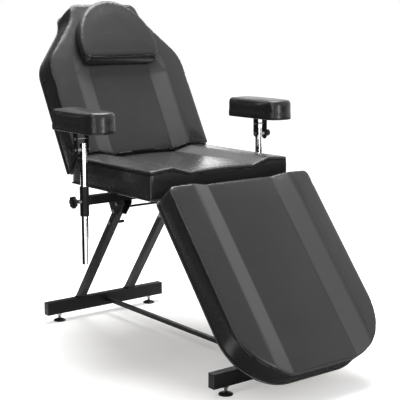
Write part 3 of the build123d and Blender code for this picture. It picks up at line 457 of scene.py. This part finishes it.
def normals(piece):
    """The normals of all vertices as an array."""
    out = np.zeros(len(piece.data.vertices) * 3, np.float32)
    piece.data.vertex_normals.foreach_get("vector", out)
    return out.reshape(-1, 3)


def apply_modifier(piece, kind, name, **settings):
    """Adds a modifier, sets it and applies it."""
    modifier = piece.modifiers.new(name, kind)
    for key, value in settings.items():
        setattr(modifier, key, value)
    only(piece)
    bpy.ops.object.modifier_apply(modifier=name)


def flat_turn(joint_name):
    """The turn that lays a leaning cushion flat about its hinge pin."""
    joint = next(j for j in frame["joints"] if j["name"] == joint_name)
    pin = Vector(joint["pos_m"])
    turn = Matrix.Rotation(math.radians(joint["range_deg"][1]), 4, Vector(joint["axis"]))
    return Matrix.Translation(pin) @ turn @ Matrix.Translation(-pin)


flat_turns = {
    "frame": Matrix.Identity(4),
    "backrest": flat_turn("backrest_tilt"),
    "leg_rest": flat_turn("leg_rest_tilt"),
    "left_armrest": Matrix.Identity(4),
    "right_armrest": Matrix.Identity(4),
}


# %% Copy, remesh and swell a cushion
touching = 0.00002


def flat_copy(node, name):
    """A copy of a CAD solid as one closed skin. If it leans with a body, it is laid flat."""
    source = frame["nodes"][node]
    piece = bpy.data.objects.new(name, source.data.copy())
    bpy.context.scene.collection.objects.link(piece)
    piece.data.materials.clear()
    only(piece)
    bpy.ops.mesh.customdata_custom_splitnormals_clear()
    bpy.ops.object.mode_set(mode="EDIT")
    bpy.ops.mesh.select_all(action="SELECT")
    bpy.ops.mesh.remove_doubles(threshold=touching)
    bpy.ops.mesh.normals_make_consistent(inside=False)
    bpy.ops.object.mode_set(mode="OBJECT")
    piece.data.transform(flat_turns[source["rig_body"]])
    return piece


def cushion_copy(node, name, grid):
    """A cushion laid flat, as an even grid."""
    piece = flat_copy(node, name)
    piece.data.remesh_voxel_size = grid
    bpy.ops.object.voxel_remesh()
    print(name, "grid of", len(piece.data.vertices), "points")
    return piece


# How far a point may move grows from edge_give beside a sewn edge to middle_give at the
# reach of an edge and beyond.
edge_reach, sharp_angle = 0.06, math.radians(15)
edge_give, middle_give = 0.0008, 0.0024
held_height, solver_steps = 0.013, 20


def edge_distance(piece, reach):
    """How far each point is from a sharp edge of the form, up to a given reach."""
    mesh = piece.data
    way = normals(piece)
    pairs = np.zeros(len(mesh.edges) * 2, np.int32)
    mesh.edges.foreach_get("vertices", pairs)
    pairs = pairs.reshape(-1, 2)
    sharp = np.einsum("ij,ij->i", way[pairs[:, 0]], way[pairs[:, 1]]) < math.cos(sharp_angle)
    co = points(piece)
    marked = np.unique(pairs[sharp])
    tree = KDTree(len(marked))
    for i in marked:
        tree.insert(co[i], int(i))
    tree.balance()
    return np.array([min(tree.find(p)[2], reach) for p in co])


def swell(piece, pressure):
    """Blows the cover up like a stuffed case. The rim is held and the sewn edges give little."""
    solid = points(piece)
    held = solid[:, 2] < solid[:, 2].min() + held_height
    give = edge_distance(piece, edge_reach) / edge_reach
    allowed = edge_give + (middle_give - edge_give) * give ** 2 * (3 - 2 * give)
    group = piece.vertex_groups.new(name="held")
    group.add([int(i) for i in np.flatnonzero(held)], 1.0, "REPLACE")
    cloth = piece.modifiers.new("Stuffing", "CLOTH")
    cloth.settings.use_pressure = True
    cloth.settings.uniform_pressure_force = pressure
    cloth.settings.effector_weights.gravity = 0.0
    cloth.settings.vertex_group_mass = "held"
    cloth.settings.quality = 4
    cloth.point_cache.frame_start = 1
    cloth.point_cache.frame_end = solver_steps
    for step in range(1, solver_steps + 1):
        bpy.context.scene.frame_set(step)
    only(piece)
    bpy.ops.object.modifier_apply(modifier="Stuffing")
    bpy.context.scene.frame_set(1)
    moved = points(piece) - solid
    length = np.linalg.norm(moved, axis=1)
    share = np.minimum(1, allowed / np.maximum(length, 1e-9))
    put(piece, solid + moved * share[:, None])
    print(piece.name, "moved by up to", round(float((length * share).max()) * 1000, 1), "mm")


def soften(piece):
    """One subdivision and smooth shading."""
    apply_modifier(piece, "SUBSURF", "Soft", levels=1, render_levels=1)
    only(piece)
    bpy.ops.object.shade_smooth()


cushions = {
    "seat_cover": ("seat_cushion", 0.006, 0.3),
    "backrest_cover": ("backrest_cushion", 0.006, 0.3),
    "leg_rest_cover": ("leg_rest_cushion", 0.006, 0.3),
    "pillow_cover": ("head_pillow", 0.004, 0.6),
    "left_pad_cover": ("left_arm_pad", 0.0035, 1.5),
    "right_pad_cover": ("right_arm_pad", 0.0035, 1.5),
}
covers = {}
for name, (node, grid, pressure) in cushions.items():
    covers[name] = cushion_copy(node, name, grid)
    swell(covers[name], pressure)
    soften(covers[name])

# %% [markdown]
# ## Edges and seams
#
# The face panel and the side strip of a cushion are two pieces of vinyl. They are sewn
# together a finger's width below the face, all the way round, also where the sunken
# middle panel runs out through the front. The seam pulls the foam in, which draws a dark
# line, and the band of each groove, with the cord in the seams of the three large
# cushions, takes a darker, duller finish that paints more shade into it. For the cut,
# each cushion is first sheared so that its wavy edge is level, then three flat cuts make
# a narrow band and the middle one is pushed in. A thin cord lies in the groove, and a
# thicker roll along the edge of the face catches a line of light.

# %% The shape of the top of a seat cushion across its width
cushion_half, edge_height, crown = 0.303, 0.116, 0.014
panel_half, ramp_end = 0.138, 0.208
panel_edge, panel_middle, ramp_slope = 0.102, 0.106, 0.3
panel_start, panel_fade_length = 0.393, 0.11
back_pin = next(j["pos_m"] for j in frame["joints"] if j["name"] == "backrest_tilt")
pin_height, panel_fade = back_pin[2], back_pin[1] + panel_start


def rising(value, start, length):
    """Zero before the start, then up to one over a length."""
    return np.clip((value - start) / length, 0, 1)


def top_height(x, y, body):
    """Height of the face above the hinge pin, at a place of a cushion that lies flat."""
    x = np.abs(x)
    arch = edge_height + crown * (1 - (x / cushion_half) ** 2)
    panel = panel_middle - (panel_middle - panel_edge) * np.minimum(x / panel_half, 1) ** 2
    ramp = panel_edge + ramp_slope * (x - panel_half)
    sunken = np.where(x < panel_half, panel, np.where(x < ramp_end, ramp, arch))
    if body == "backrest":
        fade = rising(y, panel_fade, panel_fade_length)
        sunken = sunken * (1 - fade) + arch * fade
    return sunken


def level_edges(piece, body, way):
    """Shears a cushion so that its face edge is level, or back."""
    co = points(piece)
    co[:, 2] += way * (edge_height - top_height(co[:, 0], co[:, 1], body))
    put(piece, co)


# %% Cut the groove of a seam and lay its cord
wall_slant, any_slant, flat_slant = 0.72, 0.9, 0.95


def select_walls(piece, slant):
    """Selects the more or less upright faces, in edit mode."""
    only(piece)
    bpy.ops.object.mode_set(mode="EDIT")
    bpy.ops.mesh.select_mode(type="FACE")
    bpy.ops.mesh.select_all(action="DESELECT")
    bpy.ops.object.mode_set(mode="OBJECT")
    for face in piece.data.polygons:
        face.select = abs(face.normal.z) < slant
    bpy.ops.object.mode_set(mode="EDIT")


def level_line(piece, height, slant=wall_slant):
    """One level cut round the walls. Says which points lie on it."""
    select_walls(piece, slant)
    bpy.ops.mesh.bisect(plane_co=(0, 0, height), plane_no=(0, 0, 1))
    bpy.ops.object.mode_set(mode="OBJECT")
    at_height = np.abs(points(piece)[:, 2] - height) < touching
    return at_height & (np.abs(normals(piece)[:, 2]) < flat_slant)


def groove(piece, height, width, depth, slant=wall_slant):
    """Three level cuts round the walls. The middle one is pushed in, and the band takes the darker
    seam finish, which paints shade into the groove.
    """
    level_line(piece, height + width / 2, slant)
    level_line(piece, height - width / 2, slant)
    line = level_line(piece, height, slant)
    co, face_way = points(piece), normals(piece)
    co[line, :2] -= face_way[line, :2] * depth
    put(piece, co)
    # Painted shade: the faces of the band take the darker seam finish in slot one.
    for face in piece.data.polygons:
        if abs(face.center.z - height) < width / 2 and abs(face.normal.z) < flat_slant:
            face.material_index = 1
    return line


def cord_on(piece, line, name, radius, proud=0.0):
    """A round cord along the marked vertices of a piece, a little way out of its skin."""
    co = points(piece) + normals(piece) * proud
    number = {int(i): k for k, i in enumerate(np.flatnonzero(line))}
    edges = [
        (number[a], number[b])
        for a, b in (tuple(e.vertices) for e in piece.data.edges)
        if a in number and b in number
    ]
    return round_cord([tuple(p) for p in co[line]], edges, name, radius)


def round_cord(places, edges, name, radius):
    """A round cord along edges between places."""
    mesh = bpy.data.meshes.new(name)
    mesh.from_pydata(places, edges, [])
    cord = bpy.data.objects.new(name, mesh)
    bpy.context.scene.collection.objects.link(cord)
    only(cord)
    bpy.ops.object.convert(target="CURVE")
    cord = bpy.context.object
    cord.data.bevel_depth = radius
    cord.data.bevel_resolution = 2
    bpy.ops.object.convert(target="MESH")
    cord = bpy.context.object
    bpy.ops.object.shade_smooth()
    print(name, len(cord.data.polygons), "faces")
    return cord


# %% Sew the three large cushions
cover_body = {
    "seat_cover": "frame",
    "backrest_cover": "backrest",
    "leg_rest_cover": "leg_rest",
    "pillow_cover": "backrest",
    "left_pad_cover": "left_armrest",
    "right_pad_cover": "right_armrest",
}
# Drops are measured in metres, down from the edge of the face. A roll is sunk a little
# into the skin.
face_height = pin_height + edge_height
seam_drop, seam_width, seam_depth, cord_radius = 0.012, 0.008, 0.007, 0.0012
roll_drop, roll_radius, roll_sink = 0.0035, 0.0022, -0.0006
large_covers = ("seat_cover", "backrest_cover", "leg_rest_cover")
cords, rolls = {}, {}
for name in large_covers:
    piece, body = covers[name], cover_body[name]
    level_edges(piece, body, 1)
    seam = groove(piece, face_height - seam_drop, seam_width, seam_depth)
    cord = cord_on(piece, seam, name.replace("cover", "face_seam"), cord_radius)
    edge = level_line(piece, face_height - roll_drop)
    roll = cord_on(piece, edge, name.replace("cover", "edge_roll"), roll_radius, roll_sink)
    for thing in (piece, cord, roll):
        level_edges(thing, body, -1)
    cords[cord.name] = (cord, body)
    rolls[roll.name] = (roll, body)

# %% Sew the pillow and the arm pads
small_seam_width, small_seam_depth = 0.004, 0.0012
pillow_drop, pillow_radius, pillow_sink = 0.007, 0.0018, -0.0005
for name, seam_rise, radius in (
    ("pillow_cover", 0.026, 0.0016),
    ("left_pad_cover", 0.006, 0.0012),
    ("right_pad_cover", 0.006, 0.0012),
):
    piece, body = covers[name], cover_body[name]
    height = points(piece)[:, 2].min() + seam_rise
    seam = groove(piece, height, small_seam_width, small_seam_depth, any_slant)
    print(name, "seam of", int(seam.sum()), "points")
    cord = cord_on(piece, seam, name.replace("cover", "seam"), radius)
    rolls[cord.name] = (cord, body)
    if name == "pillow_cover":
        edge = level_line(piece, points(piece)[:, 2].max() - pillow_drop, any_slant)
        roll = cord_on(piece, edge, "pillow_edge_roll", pillow_radius, pillow_sink)
        rolls[roll.name] = (roll, body)

# %% A rolled hem along the foot of each wall
def loop_numbers(count, edges):
    """Gives all points that hang together by edges the same number."""
    number = np.arange(count)
    changed = True
    while changed:
        before = number.copy()
        for a, b in edges:
            number[a] = number[b] = min(number[a], number[b])
        changed = (before != number).any()
    return number


def section_cord(node, name, height, lift, radius, out=0.0, keep=None):
    """A cord round the outside of a CAD solid at one height, moved up by a lift.

    Out moves it away from the solid, and keep says which places it may use.
    """
    piece = flat_copy(node, name)
    bpy.ops.object.mode_set(mode="EDIT")
    bpy.ops.mesh.select_all(action="SELECT")
    bpy.ops.mesh.bisect(
        plane_co=(0, 0, height), plane_no=(0, 0, 1), clear_inner=True, clear_outer=True
    )
    bpy.ops.object.mode_set(mode="OBJECT")
    co = points(piece)
    edges = [tuple(e.vertices) for e in piece.data.edges]
    bpy.data.objects.remove(piece)
    loop_of = loop_numbers(len(co), edges)
    boxes = {i: (co[loop_of == i, :2].min(0), co[loop_of == i, :2].max(0)) for i in set(loop_of)}
    outer = [
        i for i, (low, high) in boxes.items()
        if not any((l < low).all() and (h > high).all() for l, h in boxes.values())
    ]
    use = np.isin(loop_of, outer)
    if keep is not None:
        use &= keep(co)
    for i in outer:
        ring = loop_of == i
        low, high = boxes[i]
        centre, half = (low + high) / 2, (high - low) / 2
        co[ring, :2] = centre + (co[ring, :2] - centre) * (1 + out / half)
    co[:, 2] += lift
    number = {int(i): k for k, i in enumerate(np.flatnonzero(use))}
    kept = [(number[a], number[b]) for a, b in edges if a in number and b in number]
    return round_cord([tuple(p) for p in co[use]], kept, name, radius)


# The outline is taken a little higher up, where the wall is clean, and then moved down.
section_rise, hem_rise, hem_radius, hem_out = 0.02, 0.0015, 0.0035, 0.0005
for name in large_covers:
    underside = points(covers[name])[:, 2].min()
    hem = section_cord(
        cushions[name][0], name.replace("cover", "hem_roll"), underside + section_rise,
        hem_rise - section_rise, hem_radius, hem_out,
    )
    rolls[hem.name] = (hem, cover_body[name])
    print(hem.name, "at", round(float(underside), 4))

# %% Mark the paler ramps, lean the cushions back and put the covers on
mark_start, mark_rise = panel_half - 0.003, 0.006
mark_end, mark_fall = ramp_end - 0.010, 0.014
facing_up, facing_range, mark_fade = 0.8, 0.1, 0.08
for name, piece in covers.items():
    body = cover_body[name]
    co, face_way = points(piece), normals(piece)
    stretch = np.zeros(len(co), np.float32)
    if name in large_covers:
        x = np.abs(co[:, 0])
        stretch = rising(x, mark_start, mark_rise) * (1 - rising(x, mark_end, mark_fall))
        stretch *= rising(face_way[:, 2], facing_up, facing_range)
        if body == "backrest":
            stretch *= 1 - rising(co[:, 1], panel_fade, mark_fade)
    marked = piece.data.attributes.new("stretch", "FLOAT", "POINT")
    marked.data.foreach_set("value", stretch.astype(np.float32))
    piece.data.materials.append(vinyl)
    # Slot one is the darker seam finish, painted shade for the band of each groove.
    piece.data.materials.append(seam_vinyl)
    piece.data.transform(flat_turns[body].inverted())
    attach(piece, body)
    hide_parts(cushions[name][0])
# Painted shade: the cords in the seam grooves take the darker seam finish.
for cords_of_one_kind, finish in ((cords, seam_vinyl), (rolls, roll_vinyl)):
    for cord, body in cords_of_one_kind.values():
        cord.data.materials.append(finish)
        cord.data.transform(flat_turns[body].inverted())
        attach(cord, body)
print("covers:", len(covers), "cords:", len(cords), "rolls:", len(rolls))

# %% [markdown]
# ## Welds, threads and staples
#
# The last pieces are small. A weld is a bead of steel that runs round the foot of a tube.
# The studs of the levelling feet carry a thread, which is a fine ridge wound as a helix.
# Under each cushion the vinyl is folded onto the board and stapled along both sides.

# %% Weld beads
def finish_piece(piece, material, body):
    """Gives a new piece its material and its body."""
    piece.data.materials.append(material)
    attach(piece, body)


bar_top = points(frame["nodes"]["front_foot_bar"])[:, 2].max()
arm_bar = points(frame["nodes"]["armrest_bar"])
leg_weld_rise, leg_weld_radius, leg_weld_out = 0.0008, 0.0024, 0.001
sleeve_weld_rise, sleeve_weld_radius, sleeve_weld_out = 0.0006, 0.0018, 0.0006
bar_end = np.abs(arm_bar[:, 0]).max() + sleeve_weld_out
beads = []
for name in ("front_leg", "rear_leg"):
    beads.append(section_cord(
        name + "s", name + "_welds", bar_top + leg_weld_rise, 0, leg_weld_radius, leg_weld_out
    ))
for name, level in (
    ("upper", arm_bar[:, 2].max() + sleeve_weld_rise),
    ("lower", arm_bar[:, 2].min() - sleeve_weld_rise),
):
    beads.append(section_cord(
        "post_sleeves", name + "_sleeve_welds", level, 0, sleeve_weld_radius, sleeve_weld_out,
        keep=lambda co: np.abs(co[:, 0]) < bar_end,
    ))
ripple = bpy.data.textures.new("weld_ripple", "CLOUDS")
ripple.noise_scale = 0.003
for bead in beads:
    apply_modifier(bead, "DISPLACE", "Ripple", texture=ripple, strength=0.0012, mid_level=0.5)
    finish_piece(bead, coat, "frame")
print("weld beads:", len(beads))

# %% Threads of the levelling feet
stud_radius, pitch, thread_low, thread_high = 0.005, 0.0015, 0.012, 0.0235
steps_a_turn, ridge_radius = 16, 0.0004
thread_steps = int((thread_high - thread_low) / pitch * steps_a_turn)
for joint in frame["joints"]:
    if not joint["name"].startswith("levelling_foot"):
        continue
    centre = joint["pos_m"]
    places = [
        (
            centre[0] + stud_radius * math.cos(math.tau * k / steps_a_turn),
            centre[1] + stud_radius * math.sin(math.tau * k / steps_a_turn),
            thread_low + (thread_high - thread_low) * k / thread_steps,
        )
        for k in range(thread_steps + 1)
    ]
    edges = [(k, k + 1) for k in range(thread_steps)]
    body = joint["name"].replace("_turn", "")
    thread = round_cord(places, edges, body + "_thread", ridge_radius)
    finish_piece(thread, zinc, body)

# %% Folded edges with staples under the cushions
# The inner edge of a flap is cut by hand, so it waves, and it puckers at each staple.
flap_width, flap_thickness, flap_inset, flap_gap = 0.026, 0.0012, 0.003, 0.0001
long_wave, long_pace, short_wave, short_pace = 0.0016, 90, 0.001, 237
pucker_depth, edge_bevel = 0.0005, 0.0003
staple_step, staple_width, staple_leg, staple_radius = 0.036, 0.010, 0.002, 0.0005
staple_gap, staple_slant = 0.0011, 0.3
straight_sides = {"seat": (-0.13, 0.32), "backrest": (0.42, 0.76), "leg_rest": (-0.60, -0.22)}
for name, (start, end) in straight_sides.items():
    body = cover_body[name + "_cover"]
    board = frame["nodes"][name + "_board"].data.copy()
    board.transform(flat_turns[body])
    corners = np.array([v.co for v in board.vertices])
    board_low, board_half = corners[:, 2].min(), corners[:, 0].max()
    places, edges = [], []
    for side, way in (("left", 1), ("right", -1)):
        middle_x = way * (board_half - flap_width / 2 - flap_inset)
        bpy.ops.mesh.primitive_grid_add(x_subdivisions=6, y_subdivisions=120, size=1)
        flap = bpy.context.object
        flap.name = f"{name}_{side}_flap"
        co = points(flap)
        inner = np.clip(0.5 - co[:, 0] * way, 0, 1)
        along = co[:, 1] * (end - start)
        wave = long_wave * np.sin(along * long_pace) + short_wave * np.sin(along * short_pace)
        co[:, 0] = co[:, 0] * flap_width + middle_x - way * wave * inner
        co[:, 1] = (start + end) / 2 + along
        pucker = pucker_depth * np.abs(np.sin((co[:, 1] - start) / staple_step * math.pi))
        co[:, 2] = board_low - flap_thickness / 2 - flap_gap - pucker
        put(flap, co)
        apply_modifier(flap, "SOLIDIFY", "Thick", thickness=flap_thickness, offset=0.0)
        apply_modifier(
            flap, "BEVEL", "Soft edge", width=edge_bevel, segments=2, limit_method="ANGLE"
        )
        flap.data.transform(flat_turns[body].inverted())
        finish_piece(flap, roll_vinyl, body)
        for k in range(int((end - start) / staple_step)):
            y = start + staple_step * (k + 0.5)
            low = board_low - flap_thickness - staple_gap
            first = len(places)
            for end_side, rise in ((-0.5, staple_leg), (-0.5, 0), (0.5, 0), (0.5, staple_leg)):
                out = end_side * staple_width
                places.append((middle_x + out * staple_slant, y + out, low + rise))
            edges += [(first + i, first + i + 1) for i in range(3)]
    staples = round_cord(places, edges, name + "_staples", staple_radius)
    staples.data.transform(flat_turns[body].inverted())
    finish_piece(staples, zinc, body)
    print(name, "staples:", len(edges) // 3)
